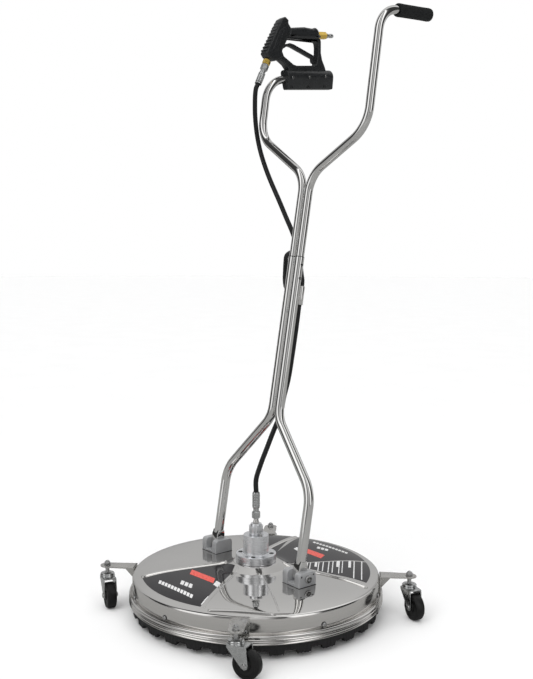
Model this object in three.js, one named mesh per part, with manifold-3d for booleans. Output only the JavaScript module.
// Walk-behind surface cleaner: a round stainless deck on four swivel casters, a spray bar that
// spins under it, and a folding twin-tube handle that carries a trigger gun and a foam grip.
// Millimetres, +Z up. The machine's front is -Y and the operator walks behind it, at +Y.
import * as THREE from 'three';
import { mergeVertices } from 'three/addons/utils/BufferGeometryUtils.js';
import Module from 'manifold-3d';

const wasm = await Module();
wasm.setup();

const DEG = Math.PI / 180;
const GAP = 0.3;

// The deck's axis stands this far in front of the origin, which is the middle of the footprint.
const DECK_AXIS_Y = -65;

// Deck: outer wall radius, wall thickness and heights above the ground.
const DECK_R = 305;
const WALL = 2;
const DOME_Z = 112;
const WALL_TOP_Z = 94.5;
const WALL_FOOT_Z = 52;
const LIP_R = 314;
const BAND_FOOT_Z = 38;
const SHAFT_HOLE_R = 24;
const DECK_SIDES = 48;

// Brush skirt: bristle ring with a row of notches in its lower edge.
const BRUSH_OUTER_R = 303;
const BRUSH_INNER_R = 293;
const BRUSH_FOOT_Z = 11;
const NOTCH_COUNT = 30;
const NOTCH_WIDTH = 26;
const NOTCH_DEPTH = 10;

// Swivel on the deck's axis: flange, housing, cap and hose fitting.
const FLANGE_Z = 126;
const FLANGE_R = 50;
const HOUSING_FOOT_Z = 145.7;
const HOUSING_R = 31.3;
const HOUSING_TOP_Z = 192.5;
const BEARING_BORE_R = 22;
const SHAFT_R = 10;
const CAP_R = 17.3;
const CAP_TOP_Z = 220.5;
const HOSE_END_Z = 233;
const HOSE_START_Z = 299;

// Spray bar under the deck.
const BAR_Z = 62;
const BAR_R = 8;
const BAR_HALF = 250;
const NOZZLE_X = 238;
const BAR_ANGLE = 25 * DEG;

// Casters: the arm's stem stands CASTER_R from the deck's axis; a wheel trails its stem.
const CASTER_R = 378.4;
const CASTERS = [
  { name: 'front', place: -45 * DEG, trail: 25 * DEG },
  { name: 'left', place: -135 * DEG, trail: -18 * DEG },
  { name: 'right', place: 45 * DEG, trail: -18 * DEG },
  { name: 'back', place: 135 * DEG, trail: -10 * DEG },
];
const WHEEL_R = 31.75;
const WHEEL_TRAIL = 27;
const ARM_TOP_Z = 101;
const ARM_THICK = 3;
const STEM_R = 5;
const FORK_HALF_GAP = 13.7;
const FORK_SHEET = 2.5;
const FORK_TOP_Z = 73;

// Handle: it pivots in two clevis brackets on the deck and leans back from upright.
const PIVOT_Z = 130;
const PIVOT_R = 5;
const LEG_X = 163;
const LEAN = 9.75 * DEG;
const BRACKET = { width: 60, depth: 52, foot: 112.6, top: 145.6, slot: 26, floor: 5, round: 8 };
const LUG_R = 12;
const LUG_WIDTH = 24;
const LOWER_TUBE_R = 11.8;
const LOWER_BORE_R = 10.9;
const UPPER_TUBE_R = 10.6;
const UPPER_BORE_R = 9.4;
const TWIN_X = 12;
const TUBE_SIDES = 12;
const UPPER_FOOT = 640;
const LOWER_TOP = 757;
const KNEE = { s: 198, bend: 90 };
const LEG_JUNCTION = { s: 356, bend: 70 };
const ARM_JUNCTION = { s: 963.5, bend: 75 };
const SHOULDER_BEND = 85;

// The two raised arms differ a little: each has its own place, height, top bend and end tilt.
// Both stand slightly more upright than the stem below them.
const ARM_LEAN = 1.2 * DEG;
const LEFT_ARM = { x: -209, shoulder: 1081, top: 1236, bend: 72, tilt: 6 * DEG, reach: 198 };
const RIGHT_ARM = { x: 190.5, shoulder: 1070, top: 1352, bend: 62, tilt: 2.6 * DEG, reach: 161 };
const BUTTON_S = 739;
const SPARE_HOLE_S = 705;

// Gun: its own frame has y along the clamped tube and z across it, at the left arm's end.
const GUN = { x: LEFT_ARM.x, y: 44.74, z: 1247.48 };
const CLAMP_V = 2;
const CLAMP_START = 7;
const CLAMP_LENGTH = 166;
// The clamp's section: corners [x, z, radius], anticlockwise.
const CLAMP_SECTION = [[-15, 27.5, 8], [-8, -25.5, 6], [13.5, -25.5, 4], [25, 27.5, 19]];
const TRIGGER_WIDTH = 12;
const VALVE_V = 122;
const TRIGGER_PIVOT = [-2, 86];
const LOCK_PIVOT = [113, 57];
const GRIP_END = 139;
const OUTLET = [-45.5, 54];
const OUTLET_AXIS = [-0.529, -0.849];

// Foam grip on the right arm.
const GRIP_START = 54;
const GRIP_LENGTH = 115;
const GRIP_R = 16;

// Hose and its guide sleeve behind the right-hand lower tube.
const HOSE_R = 6.2;
const GUIDE = { x: 10, y: 20.8, from: 641, to: 688, outer: 8.6, inner: 6.9 };
const HOSE_JOIN = 664;
const LOOP = { s: 727, r: 49, skew: -25 * DEG, from: 50, to: -340, step: 26 };
// The loop's centre drifts through these places: [share of the turn, x, y].
const LOOP_DRIFT = [
  [0, -71, 58.9], [0.59, -62.2, 39.2], [0.74, -63.5, 29.9],
  [0.82, -57, 33.8], [0.9, -50.4, 38], [1, -46.4, 38.4],
];

// ---------------------------------------------------------------- materials

const metal = (color, roughness) =>
  new THREE.MeshStandardMaterial({ color, roughness, metalness: 1 });
const dull = (color, roughness) =>
  new THREE.MeshStandardMaterial({ color, roughness, metalness: 0 });

const mirrorSteel = metal(0xb9b9b8, 0.12);
const brushedSteel = metal(0xa8a6a3, 0.3);
const zincPlate = metal(0x9fa2a2, 0.35);
const aluminium = metal(0xb9bcc4, 0.35);
const bracketAlloy = metal(0x85878c, 0.45);
const brass = metal(0xd9a520, 0.3);
const blackPlastic = dull(0x2b2c2e, 0.5);
const hoseRubber = dull(0x17191b, 0.35);
const wheelRubber = dull(0x1c1c1c, 0.6);
const bristle = dull(0x0e0f0f, 0.8);
const foam = dull(0x232425, 0.9);
const sealRubber = dull(0x202020, 0.7);

// ---------------------------------------------------------------- geometry helpers

function toSolid(geometry) {
  const bare = geometry.clone();
  bare.deleteAttribute('normal');
  bare.deleteAttribute('uv');
  const merged = mergeVertices(bare, 1e-4);
  const corners = merged.index.array;
  const kept = [];
  for (let i = 0; i < corners.length; i += 3) {
    const [a, b, c] = corners.slice(i, i + 3);
    if (a !== b && b !== c && c !== a) kept.push(a, b, c);
  }
  return new wasm.Manifold(
    new wasm.Mesh({
      numProp: 3,
      vertProperties: merged.attributes.position.array,
      triVerts: new Uint32Array(kept),
    }),
  );
}

function toGeometry(solid) {
  const mesh = solid.getMesh();
  const geometry = new THREE.BufferGeometry();
  geometry.setAttribute('position', new THREE.BufferAttribute(mesh.vertProperties, 3));
  geometry.setIndex(new THREE.BufferAttribute(mesh.triVerts, 1));
  geometry.computeVertexNormals();
  return geometry;
}

const fuse = (...pieces) => toGeometry(pieces.map(toSolid).reduce((all, next) => all.add(next)));

const cut = (body, ...tools) =>
  toGeometry(tools.map(toSolid).reduce((rest, tool) => rest.subtract(tool), toSolid(body)));

// A profile of [radius, height] points turned about Z, anticlockwise, from axis to axis.
function turned(profile, sides) {
  const points = profile.map(([r, z]) => new THREE.Vector2(r, z));
  return new THREE.LatheGeometry(points, sides).rotateX(Math.PI / 2);
}

// A ring: the same, with the profile closed on itself.
const ring = (profile, sides) => turned([...profile, profile[0]], sides);

// A round or six-sided rod between two points.
function rod(radius, from, to, sides = 12, endRadius = radius) {
  const start = new THREE.Vector3(...from);
  const end = new THREE.Vector3(...to);
  const axis = end.clone().sub(start);
  const upright = new THREE.Vector3(0, 1, 0);
  const turn = new THREE.Quaternion().setFromUnitVectors(upright, axis.clone().normalize());
  const middle = start.clone().add(end).multiplyScalar(0.5);
  return new THREE.CylinderGeometry(endRadius, radius, axis.length(), sides)
    .applyQuaternion(turn)
    .translate(middle.x, middle.y, middle.z);
}

function box(from, to) {
  const size = to.map((value, i) => value - from[i]);
  const middle = to.map((value, i) => (value + from[i]) / 2);
  return new THREE.BoxGeometry(...size).translate(...middle);
}

function outline(points) {
  return new THREE.Shape(points.map(([x, y]) => new THREE.Vector2(x, y)));
}

const slab = (shape, thick) =>
  new THREE.ExtrudeGeometry(shape, { depth: thick, bevelEnabled: false, curveSegments: 4 })
    .translate(0, 0, -thick / 2);

// A convex outline whose corners, given anticlockwise as [x, y, radius], are rounded off.
function roundedOutline(corners) {
  const shape = new THREE.Shape();
  corners.forEach(([x, y, radius], i) => {
    const here = new THREE.Vector2(x, y);
    const arriving = here.clone().sub(new THREE.Vector2(...corners.at(i - 1)));
    const leaving = new THREE.Vector2(...corners[(i + 1) % corners.length]).sub(here);
    const inward = leaving.clone().normalize().sub(arriving.clone().normalize());
    const halfTurn = Math.asin(inward.length() / 2);
    const centre = here.addScaledVector(inward.normalize(), radius / Math.cos(halfTurn));
    const [from, to] = [arriving, leaving].map((edge) => edge.angle() - 90 * DEG);
    shape.absarc(centre.x, centre.y, radius, from, to, false);
  });
  return shape;
}

// A slab whose outline is drawn in the YZ plane and whose thickness runs along X.
function sideSlab(shape, thick) {
  const turn = new THREE.Matrix4().makeBasis(
    new THREE.Vector3(0, 1, 0),
    new THREE.Vector3(0, 0, 1),
    new THREE.Vector3(1, 0, 0),
  );
  return slab(shape, thick).applyMatrix4(turn);
}

// A curve that puts one section at each of its stations and nowhere else.
class StationCurve extends THREE.Curve {
  constructor(stations) {
    super();
    this.stations = stations;
  }

  getPoint(t, target = new THREE.Vector3()) {
    const last = this.stations.length - 1;
    return target.copy(this.stations[Math.round(t * last)]);
  }

  getPointAt(t, target) {
    return this.getPoint(t, target);
  }

  getTangentAt(t, target = new THREE.Vector3()) {
    const last = this.stations.length - 1;
    const here = Math.round(t * last);
    const before = this.stations[Math.max(here - 1, 0)];
    const after = this.stations[Math.min(here + 1, last)];
    return target.copy(after).sub(before).normalize();
  }
}

// Stations along straight runs whose corners are rounded to a bend radius.
function bentRoute(corners, bends, stepsPerBend = 5) {
  const points = corners.map((corner) => new THREE.Vector3(...corner));
  const stations = [points[0]];
  for (let i = 1; i < points.length - 1; i += 1) {
    const back = points[i - 1].clone().sub(points[i]).normalize();
    const ahead = points[i + 1].clone().sub(points[i]).normalize();
    const half = back.angleTo(ahead) / 2;
    const radius = bends[i - 1];
    const toCentre = back.clone().add(ahead).normalize().multiplyScalar(radius / Math.sin(half));
    const centre = points[i].clone().add(toCentre);
    const start = points[i].clone().addScaledVector(back, radius / Math.tan(half));
    const end = points[i].clone().addScaledVector(ahead, radius / Math.tan(half));
    const spin = new THREE.Vector3().crossVectors(start.clone().sub(centre), end.clone().sub(centre));
    spin.normalize();
    for (let step = 0; step <= stepsPerBend; step += 1) {
      const angle = ((Math.PI - 2 * half) * step) / stepsPerBend;
      stations.push(start.clone().sub(centre).applyAxisAngle(spin, angle).add(centre));
    }
  }
  stations.push(points[points.length - 1]);
  return stations;
}

function roundSection(radius, sides, boreRadius = 0) {
  const corner = (r) => (_, i) =>
    new THREE.Vector2(r * Math.cos((i / sides) * 2 * Math.PI), r * Math.sin((i / sides) * 2 * Math.PI));
  const shape = new THREE.Shape(Array.from({ length: sides }, corner(radius)));
  if (boreRadius > 0) shape.holes.push(new THREE.Path(Array.from({ length: sides }, corner(boreRadius))));
  return shape;
}

const along = (stations, section) =>
  new THREE.ExtrudeGeometry(section, {
    steps: stations.length - 1,
    extrudePath: new StationCurve(stations),
    bevelEnabled: false,
  });

function part(name, geometry, material) {
  const mesh = new THREE.Mesh(geometry, material);
  mesh.name = name;
  return mesh;
}

// ---------------------------------------------------------------- deck

function deckShell() {
  const underside = [
    [SHAFT_HOLE_R, 123.7], [54, 123.7], [76, 112], [92, DOME_Z - WALL], [200, 109.4],
    [270, 104.6], [297, 98.8], [301.5, 96.6], [DECK_R - WALL, WALL_TOP_Z - 1],
  ];
  const lip = [[DECK_R - WALL, WALL_FOOT_Z], [LIP_R - 1, WALL_FOOT_Z], [LIP_R - 1, 55], [DECK_R, 58]];
  const top = [
    [DECK_R, WALL_TOP_Z], [304, 97.8], [300.5, 100], [270.3, 106.7], [200, 111.4],
    [92, DOME_Z], [77, 114], [56, 125.7], [SHAFT_HOLE_R, 125.7],
  ];
  return ring([...underside, ...lip, ...top], DECK_SIDES);
}

function skirtBand() {
  const inner = DECK_R - 0.6;
  return ring(
    [
      [inner, BAND_FOOT_Z], [LIP_R - 1, BAND_FOOT_Z], [LIP_R, 40],
      [LIP_R, 49.5], [LIP_R - 1, WALL_FOOT_Z - GAP], [inner, WALL_FOOT_Z - GAP],
    ],
    DECK_SIDES,
  );
}

function brushSkirt() {
  const top = WALL_FOOT_Z - 1;
  const bristles = ring(
    [
      [BRUSH_INNER_R, BRUSH_FOOT_Z], [BRUSH_OUTER_R, BRUSH_FOOT_Z],
      [BRUSH_OUTER_R, top], [BRUSH_INNER_R, top],
    ],
    DECK_SIDES,
  );
  const notches = Array.from({ length: NOTCH_COUNT }, (_, i) =>
    box(
      [BRUSH_INNER_R - 5, -NOTCH_WIDTH / 2, BRUSH_FOOT_Z - 1],
      [BRUSH_OUTER_R + 5, NOTCH_WIDTH / 2, BRUSH_FOOT_Z + NOTCH_DEPTH],
    ).rotateZ((i / NOTCH_COUNT) * 2 * Math.PI),
  );
  return cut(bristles, ...notches);
}

function deckParts() {
  return [
    part('deck_shell', deckShell(), mirrorSteel),
    part('skirt_band', skirtBand(), brushedSteel),
    part('brush_skirt', brushSkirt(), bristle),
  ];
}

// ---------------------------------------------------------------- swivel and spray bar

function swivelHousing() {
  const spigotHole = 12.4;
  const boreTop = 184;
  return ring(
    [
      [BEARING_BORE_R, FLANGE_Z], [FLANGE_R, FLANGE_Z], [FLANGE_R, HOUSING_FOOT_Z],
      [HOUSING_R, HOUSING_FOOT_Z], [HOUSING_R, HOUSING_TOP_Z], [spigotHole, HOUSING_TOP_Z],
      [spigotHole, boreTop], [BEARING_BORE_R, boreTop],
    ],
    28,
  );
}

function swivelCap() {
  const foot = HOUSING_TOP_Z + GAP;
  const flat = 14.6;
  const turnedCap = turned(
    [[0, 186], [12, 186], [12, foot], [CAP_R, foot], [CAP_R, 216], [14.5, CAP_TOP_Z], [0, CAP_TOP_Z]],
    24,
  );
  const flats = [-1, 1].map((side) =>
    box([side > 0 ? flat : -30, -30, 199], [side > 0 ? 30 : -flat, 30, 230]),
  );
  return cut(turnedCap, ...flats);
}

const bearing = (foot, high) =>
  ring([[SHAFT_R + 0.5, foot], [21.6, foot], [21.6, foot + high], [SHAFT_R + 0.5, foot + high]], 20);

function swivelParts() {
  const nipple = turned(
    [[0, CAP_TOP_Z + GAP], [7.6, CAP_TOP_Z + GAP], [5.6, HOSE_END_Z - GAP], [0, HOSE_END_Z - GAP]],
    12,
  );
  const hoseEnd = turned(
    [
      [0, HOSE_END_Z], [8.6, HOSE_END_Z], [9.7, 235], [9.7, 250], [7.2, 252.5], [7.2, 259],
      [9.1, 260.5], [9.1, 297.5], [8.2, HOSE_START_Z], [0, HOSE_START_Z],
    ],
    12,
  );
  const plug = turned([[0, 192.8], [4.6, 192.8], [4.6, 197], [3, 199.5], [0, 199.5]], 10);
  const plugPlace = new THREE.Vector3(24.2, 0, 0).applyAxisAngle(new THREE.Vector3(0, 0, 1), -11 * DEG);
  return [
    part('swivel_housing', swivelHousing(), aluminium),
    part('swivel_cap', swivelCap(), aluminium),
    part('bearing_lower', bearing(130, 12), brushedSteel),
    part('bearing_upper', bearing(165, 12), brushedSteel),
    part('shaft_seal', bearing(126.4, 3), sealRubber),
    part('grease_plug', plug.translate(plugPlace.x, plugPlace.y, 0), zincPlate),
    part('inlet_nipple', nipple, mirrorSteel),
    part('swivel_hose_end', hoseEnd, zincPlate),
  ];
}

function rotorParts() {
  const blockTop = 78;
  const shaft = turned(
    [[0, blockTop + GAP], [15, blockTop + GAP], [15, 84], [SHAFT_R, 84], [SHAFT_R, 183.5], [0, 183.5]],
    16,
  );
  const bar = fuse(
    box([-17, -17, 50], [17, 17, blockTop]),
    rod(BAR_R, [-BAR_HALF, 0, BAR_Z], [BAR_HALF, 0, BAR_Z]),
  );
  const nozzleTop = BAR_Z - BAR_R - GAP;
  const nozzle = () =>
    turned([[0, 36], [4.5, 36], [5, 45], [7.4, 46], [7.4, nozzleTop], [0, nozzleTop]], 6);
  const rotor = new THREE.Group();
  rotor.rotation.z = BAR_ANGLE;
  rotor.add(
    part('rotor_shaft', shaft, brushedSteel),
    part('spray_bar', bar, mirrorSteel),
    part('nozzle_near', nozzle().translate(-NOZZLE_X, 0, 0), brass),
    part('nozzle_far', nozzle().translate(NOZZLE_X, 0, 0), brass),
  );
  return rotor;
}

// ---------------------------------------------------------------- casters

// The arm is drawn with the deck's axis at x = 0 and its stem at x = CASTER_R.
function casterArm() {
  const root = DECK_R + 0.6;
  const sheet = 3;
  const plan = new THREE.Shape();
  plan.moveTo(root, -20);
  plan.lineTo(CASTER_R - 4, -17);
  plan.absarc(CASTER_R, 0, 17.4, -80 * DEG, 80 * DEG, false);
  plan.lineTo(root, 20);
  const plate = slab(plan, ARM_THICK).translate(0, 0, ARM_TOP_Z - ARM_THICK / 2);
  const flange = box([root, -20, 60], [root + sheet, 20, ARM_TOP_Z]);
  const rib = slab(outline([[root + 1, 64], [338, 98.5], [root + 1, 98.5]]), sheet).rotateX(Math.PI / 2);
  const stemHole = rod(STEM_R + 0.5, [CASTER_R, 0, 80], [CASTER_R, 0, 120]);
  return cut(fuse(plate, flange, rib), stemHole);
}

function casterStem() {
  const seat = ARM_TOP_Z - ARM_THICK - GAP;
  return turned(
    [
      [0, 66], [8, 66], [8, 69.4], [STEM_R, 69.4], [STEM_R, 93], [8.8, 94], [8.8, seat],
      [STEM_R, seat], [STEM_R, ARM_TOP_Z + GAP], [8.6, ARM_TOP_Z + GAP], [8.6, 108], [4.5, 112.5],
      [0, 112.5],
    ],
    12,
  );
}

// Fork, axle and wheel are drawn with the stem on the Z axis and the wheel trailing along +X.
function casterFork() {
  const outer = FORK_HALF_GAP + FORK_SHEET;
  const cheek = outline([
    [-15, FORK_TOP_Z], [31, FORK_TOP_Z], [35.4, 33.5], [33.4, 26.4], [27, 23.2], [20.8, 26], [-15, 66],
  ]);
  const cheeks = [-1, 1].map((side) =>
    slab(cheek, FORK_SHEET).rotateX(Math.PI / 2).translate(0, side * (outer - FORK_SHEET / 2), 0),
  );
  const bridge = box([-15, -outer, FORK_TOP_Z - 3], [31, outer, FORK_TOP_Z]);
  const race = turned([[0, 72], [18, 72], [18.3, 78], [16, 82], [0, 82]], 16);
  return cut(
    fuse(bridge, race, ...cheeks),
    rod(STEM_R + 0.6, [0, 0, 60], [0, 0, 90]),
    rod(4.5, [WHEEL_TRAIL, -30, WHEEL_R], [WHEEL_TRAIL, 30, WHEEL_R], 10),
  );
}

function casterAxle() {
  const head = FORK_HALF_GAP + FORK_SHEET + GAP;
  return turned(
    [
      [0, -head - 3], [6.3, -head - 3], [6.3, -head], [4, -head],
      [4, head], [6.3, head], [6.3, head + 3], [0, head + 3],
    ],
    10,
  )
    .rotateX(Math.PI / 2)
    .translate(WHEEL_TRAIL, 0, WHEEL_R);
}

function casterWheel() {
  const half = [[26, 11.5], [11, 10], [10, 13], [4.5, 13]];
  const shoulder = 8;
  const profile = [
    ...half.map(([r, w]) => [r, -w]).reverse(),
    [WHEEL_R, -shoulder], [WHEEL_R, shoulder],
    ...half,
  ];
  return ring(profile, 18).rotateX(Math.PI / 2).translate(WHEEL_TRAIL, 0, WHEEL_R);
}

function casterParts({ name, place, trail }) {
  const arm = new THREE.Group();
  arm.rotation.z = place;
  arm.add(
    part(`caster_arm_${name}`, casterArm(), brushedSteel),
    part(`caster_stem_${name}`, casterStem().translate(CASTER_R, 0, 0), zincPlate),
  );
  const caster = new THREE.Group();
  caster.position.set(CASTER_R * Math.cos(place), CASTER_R * Math.sin(place), 0);
  caster.rotation.z = trail;
  caster.add(
    part(`caster_fork_${name}`, casterFork(), zincPlate),
    part(`caster_axle_${name}`, casterAxle(), zincPlate),
    part(`caster_wheel_${name}`, casterWheel(), wheelRubber),
  );
  return [arm, caster];
}

// ---------------------------------------------------------------- handle brackets

function bracket() {
  const { width, depth, foot, top, slot, floor, round } = BRACKET;
  const half = depth / 2;
  const side = new THREE.Shape();
  side.moveTo(-half, foot);
  side.lineTo(half, foot);
  side.lineTo(half, top - round);
  side.absarc(half - round, top - round, round, 0, 90 * DEG, false);
  side.lineTo(-half + round, top);
  side.absarc(-half + round, top - round, round, 90 * DEG, 180 * DEG, false);
  const channel = box([-slot / 2, -half - 1, foot + floor], [slot / 2, half + 1, top + 1]);
  const bore = rod(PIVOT_R + 0.5, [-width, 0, PIVOT_Z], [width, 0, PIVOT_Z]);
  return cut(sideSlab(side, width), channel, bore);
}

// The bolt's head is on the bracket's outer cheek, and its thread ends flush with the inner one.
function pivotBolt(side) {
  const cheek = BRACKET.width / 2;
  const head = cheek + GAP;
  return turned(
    [
      [0, -cheek], [PIVOT_R, -cheek], [PIVOT_R, head], [9, head], [9, head + 5],
      [7, head + 6.5], [0, head + 6.5],
    ],
    12,
  )
    .rotateY((side * Math.PI) / 2)
    .translate(side * LEG_X, 0, PIVOT_Z);
}

function bracketParts() {
  return [['left', -1], ['right', 1]].flatMap(([name, side]) => [
    part(`bracket_${name}`, bracket().translate(side * LEG_X, 0, 0), bracketAlloy),
    part(`pivot_bolt_${name}`, pivotBolt(side), zincPlate),
  ]);
}

// ---------------------------------------------------------------- handle tubes

// Handle pieces are drawn upright: z runs up the handle from the pivot, y points behind it.
const outboard = (side, s, radius) =>
  rod(radius, [side * TWIN_X, 0, s], [side * (TWIN_X + 20), 0, s], 10);

function lowerTube(side) {
  const corners = [
    [side * LEG_X, 0, 28], [side * LEG_X, 0, KNEE.s], [side * TWIN_X, 0, LEG_JUNCTION.s],
    [side * TWIN_X, 0, LOWER_TOP],
  ];
  const tube = along(
    bentRoute(corners, [KNEE.bend, LEG_JUNCTION.bend]),
    roundSection(LOWER_TUBE_R, TUBE_SIDES, LOWER_BORE_R),
  );
  const lug = new THREE.Shape();
  lug.moveTo(LUG_R, 36);
  lug.lineTo(-LUG_R, 36);
  lug.absarc(0, 0, LUG_R, 180 * DEG, 360 * DEG, false);
  const eye = rod(PIVOT_R + 0.5, [side * LEG_X - 20, 0, 0], [side * LEG_X + 20, 0, 0]);
  const body = fuse(tube, sideSlab(lug, LUG_WIDTH).translate(side * LEG_X, 0, 0));
  return cut(body, eye, outboard(side, BUTTON_S, 4), outboard(side, SPARE_HOLE_S, 4));
}

function upperTube(side) {
  const { x, shoulder, top, bend, tilt, reach } = side < 0 ? LEFT_ARM : RIGHT_ARM;
  const topY = -Math.sin(ARM_LEAN) * (top - shoulder);
  const endTilt = LEAN + tilt;
  const corners = [
    [side * TWIN_X, 0, UPPER_FOOT], [side * TWIN_X, 0, ARM_JUNCTION.s], [x, 0, shoulder],
    [x, topY, top], [x, topY + reach * Math.cos(endTilt), top + reach * Math.sin(endTilt)],
  ];
  const tube = along(
    bentRoute(corners, [ARM_JUNCTION.bend, SHOULDER_BEND, bend]),
    roundSection(UPPER_TUBE_R, TUBE_SIDES, UPPER_BORE_R),
  );
  return cut(tube, outboard(side, BUTTON_S, 4));
}

function snapButton(side) {
  const height = LOWER_TUBE_R + 2.4;
  return turned([[0, 2], [3.5, 2], [3.5, height - 1.4], [2, height], [0, height]], 10)
    .rotateY((side * Math.PI) / 2)
    .translate(side * TWIN_X, 0, BUTTON_S);
}

function foamGrip() {
  const bore = UPPER_TUBE_R + 0.5;
  const { x, shoulder, top, tilt } = RIGHT_ARM;
  return turned(
    [
      [0, GRIP_LENGTH - 6], [bore, GRIP_LENGTH - 6], [bore, 0], [GRIP_R - 1, 0], [GRIP_R, 2],
      [GRIP_R, GRIP_LENGTH - 4], [GRIP_R - 4, GRIP_LENGTH], [0, GRIP_LENGTH],
    ],
    20,
  )
    .translate(0, 0, GRIP_START)
    .rotateX(LEAN + tilt - Math.PI / 2)
    .translate(x, -Math.sin(ARM_LEAN) * (top - shoulder), top);
}

function hoseGuide() {
  return ring(
    [[GUIDE.inner, GUIDE.from], [GUIDE.outer, GUIDE.from], [GUIDE.outer, GUIDE.to], [GUIDE.inner, GUIDE.to]],
    12,
  ).translate(GUIDE.x, GUIDE.y, 0);
}

// ---------------------------------------------------------------- trigger gun

function gunBody() {
  const barrel = outline([
    [-60, 69], [-53, 58], [-33, 49], [-17, 51], [3, 62], [-2, 74], [-1, 79], [10, 92], [20, 112],
    [35, 125], [35, 137], [28, 147], [27, 158], [18, 165], [3, 158],
  ]);
  const grip = outline([
    [20, 110], [53, 109], [75, 107.5], [99, 108.5], [120, 108], [138, 110], [GRIP_END, 128],
    [135, 136], [127, 141], [116, 138], [86, 141], [56, 139], [30, 137],
  ]);
  const guard = outline([
    [-8, 52], [9, 40], [17, 29], [18, 20], [157, 20], [152, 36], [144, 54], [141, 73], [144, 104],
    [142, 112], [20, 112], [4, 90], [-12, 66],
  ]);
  const fingerGap = outline([
    [20, 110], [122, 108], [131, 100], [132, 89], [130, 72], [122, 48], [120, 42], [113, 39],
    [48, 38], [37, 41], [5, 62], [-2, 74], [-1, 79], [10, 92],
  ]);
  const clampBlock = slab(roundedOutline(CLAMP_SECTION), CLAMP_LENGTH).rotateX(Math.PI / 2);
  clampBlock.translate(0, CLAMP_START + CLAMP_LENGTH / 2, 0);
  const frame = cut(sideSlab(guard, 22), sideSlab(fingerGap, 60));
  return fuse(frame, sideSlab(barrel, 28), sideSlab(grip, 30), clampBlock);
}

function valveRuns(radius, sides) {
  return [
    rod(radius, [0, 8, VALVE_V], [0, GRIP_END - 0.4, VALVE_V], sides),
    rod(radius + 1, [0, 8, VALVE_V + 4], [0, OUTLET[0] + 4, OUTLET[1] + 6], sides),
  ];
}

function gunShell(side) {
  const tubeBore = rod(UPPER_TUBE_R + 0.8, [0, -20, CLAMP_V], [0, 156, CLAMP_V]);
  const [pu, pv] = TRIGGER_PIVOT;
  const triggerSlot = outline([
    [-11, 80], [-4, 77], [20, 70], [44, 70], [44, 107.5], [24, 107.5], [14, 101], [-4, 96], [-11, 92],
  ]);
  const near = side > 0 ? [-60, GAP / 2] : [-GAP / 2, 60];
  const otherHalf = box([near[0], -120, -80], [near[1], 260, 220]);
  return cut(
    gunBody(),
    tubeBore,
    ...valveRuns(6.8, 12),
    sideSlab(triggerSlot, TRIGGER_WIDTH + 1.4),
    rod(3.4, [-30, pu, pv], [30, pu, pv], 10),
    otherHalf,
  );
}

function trigger() {
  const [pu, pv] = TRIGGER_PIVOT;
  const [lu, lv] = LOCK_PIVOT;
  const lever = outline([
    [-9, 84], [-6, 80], [0, 79], [12, 84], [24, 90], [37, 87], [72, 73], [104, 60], [112, 57.5],
    [119, 58], [120.5, 63], [114, 68], [47, 95], [34, 98], [22, 95.5], [4, 93], [-6, 92], [-9, 88],
  ]);
  return cut(
    sideSlab(lever, TRIGGER_WIDTH),
    rod(3.4, [-20, pu, pv], [20, pu, pv], 10),
    rod(4.5, [-20, lu, lv], [20, lu, lv]),
  );
}

function triggerLock() {
  const [lu, lv] = LOCK_PIVOT;
  const width = 9;
  const tail = outline([
    [lu - 4, lv], [109.4, 50], [112, 45], [115.5, 45.5], [117.3, 50], [lu + 4, lv],
  ]);
  return fuse(rod(4, [-width / 2, lu, lv], [width / 2, lu, lv]), sideSlab(tail, width));
}

// A point on the outlet's axis, at a distance from the barrel's lower end.
const outletPoint = (distance) => [
  0, OUTLET[0] + OUTLET_AXIS[0] * distance, OUTLET[1] + OUTLET_AXIS[1] * distance,
];

function gunHoseEnd() {
  const lean = new THREE.Quaternion().setFromUnitVectors(
    new THREE.Vector3(0, 0, 1),
    new THREE.Vector3(0, ...OUTLET_AXIS).normalize(),
  );
  return turned(
    [
      [0, 0], [9.6, 0], [9.6, 16], [7.2, 18.5], [7.2, 22], [9, 23.5], [9, 53], [8.2, 54.5], [0, 54.5],
    ],
    12,
  )
    .applyQuaternion(lean)
    .translate(...outletPoint(16.3));
}

function gunParts() {
  const plugProfile = [
    [0, 0], [6.4, 0], [6.4, 9], [4.6, 11], [4.6, 14], [5.9, 16], [5.9, 24], [4, 28], [0, 28],
  ];
  const plug = turned(plugProfile, 12).rotateX(-Math.PI / 2).translate(0, 170.6, VALVE_V);
  const [pu, pv] = TRIGGER_PIVOT;
  const gun = new THREE.Group();
  gun.position.set(GUN.x, GUN.y, GUN.z);
  gun.rotation.x = LEAN + LEFT_ARM.tilt;
  gun.add(
    part('gun_shell_outer', gunShell(-1), blackPlastic),
    part('gun_shell_inner', gunShell(1), blackPlastic),
    part('valve_body', fuse(...valveRuns(6.2, 8)), brass),
    part('inlet_fitting', rod(9.6, [0, GRIP_END + GAP, VALVE_V], [0, 170.3, VALVE_V], 6), brass),
    part('inlet_plug', plug, zincPlate),
    part('outlet_fitting', rod(9.6, outletPoint(2.4), outletPoint(16), 6), brass),
    part('gun_hose_end', gunHoseEnd(), zincPlate),
    part('trigger', trigger(), blackPlastic),
    part('trigger_pin', rod(3, [-13.6, pu, pv], [13.6, pu, pv], 10), zincPlate),
    part('trigger_lock', triggerLock(), blackPlastic),
  );
  return gun;
}

// ---------------------------------------------------------------- hose

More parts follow.
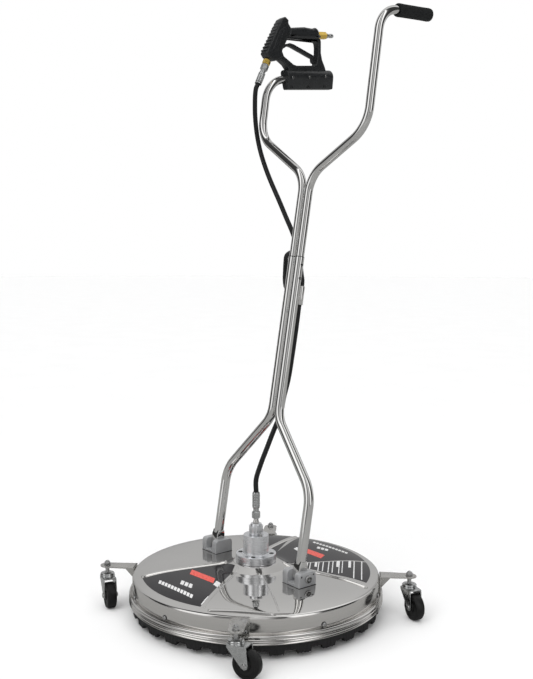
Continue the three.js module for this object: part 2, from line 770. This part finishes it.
// One turn of hose hangs behind the tubes; its centre drifts sideways so that the strands clear.
function loopPoints() {
  const points = [];
  for (let angle = LOOP.from; angle >= LOOP.to; angle -= LOOP.step) {
    const share = (LOOP.from - angle) / (LOOP.from - LOOP.to);
    const next = Math.max(1, LOOP_DRIFT.findIndex((place) => place[0] >= share - 1e-9));
    const [shareA, xA, yA] = LOOP_DRIFT[next - 1];
    const [shareB, xB, yB] = LOOP_DRIFT[next];
    const part = (share - shareA) / (shareB - shareA);
    const across = LOOP.r * Math.cos(angle * DEG);
    points.push([
      xA + (xB - xA) * part + across * Math.cos(LOOP.skew),
      yA + (yB - yA) * part + across * Math.sin(LOOP.skew),
      LOOP.s + LOOP.r * Math.sin(angle * DEG),
    ]);
  }
  return points;
}

const UPPER_HOSE = [
  [-209, -33.8, 1218], [-209, -39.4, 1198.8], [-213, -30, 1146], [-221, -13.5, 1108],
  [-222, 0.5, 1073], [-206, 6.5, 1033], [-176, 14, 980], [-125, 23.5, 908], [-102, 33.5, 868],
  [-76, 46, 821],
  ...loopPoints(),
  [2.5, 20.8, 719], [8.5, 20.8, 704], [GUIDE.x, GUIDE.y, 694], [GUIDE.x, GUIDE.y, 682],
  [GUIDE.x, GUIDE.y, HOSE_JOIN + GAP / 2],
];

const LOWER_HOSE = [
  [0, -28.7, 166.9], [0, -33.9, 197], [3, -28.5, 235], [6, -17, 280], [4.5, -3.5, 318], [1, 9.5, 345],
  [0, 17.5, 372], [0, 19.8, 405], [8, 19.8, 452], [10.6, 20.2, 527], [10.8, 20.6, 585],
  [GUIDE.x, GUIDE.y, 630], [GUIDE.x, GUIDE.y, 646], [GUIDE.x, GUIDE.y, HOSE_JOIN - GAP / 2],
];

function hose(points, steps) {
  const places = points.map((point) => new THREE.Vector3(...point));
  const curve = new THREE.CatmullRomCurve3(places, false, 'centripetal');
  return along(curve.getSpacedPoints(steps), roundSection(HOSE_R, 8));
}

// ---------------------------------------------------------------- assembly

function handleParts() {
  const handle = new THREE.Group();
  handle.position.z = PIVOT_Z;
  handle.rotation.x = -LEAN;
  [['left', -1], ['right', 1]].forEach(([name, side]) => {
    handle.add(
      part(`lower_tube_${name}`, lowerTube(side), mirrorSteel),
      part(`upper_tube_${name}`, upperTube(side), mirrorSteel),
      part(`snap_button_${name}`, snapButton(side), blackPlastic),
    );
  });
  handle.add(
    part('foam_grip', foamGrip(), foam),
    part('hose_guide', hoseGuide(), mirrorSteel),
    part('hose_upper', hose(UPPER_HOSE, 62), hoseRubber),
    part('hose_lower', hose(LOWER_HOSE, 24), hoseRubber),
    gunParts(),
  );
  return handle;
}

const cleaner = new THREE.Group();
cleaner.position.y = DECK_AXIS_Y;
cleaner.add(
  ...deckParts(),
  ...swivelParts(),
  rotorParts(),
  ...CASTERS.flatMap(casterParts),
  ...bracketParts(),
  handleParts(),
);

export default cleaner;
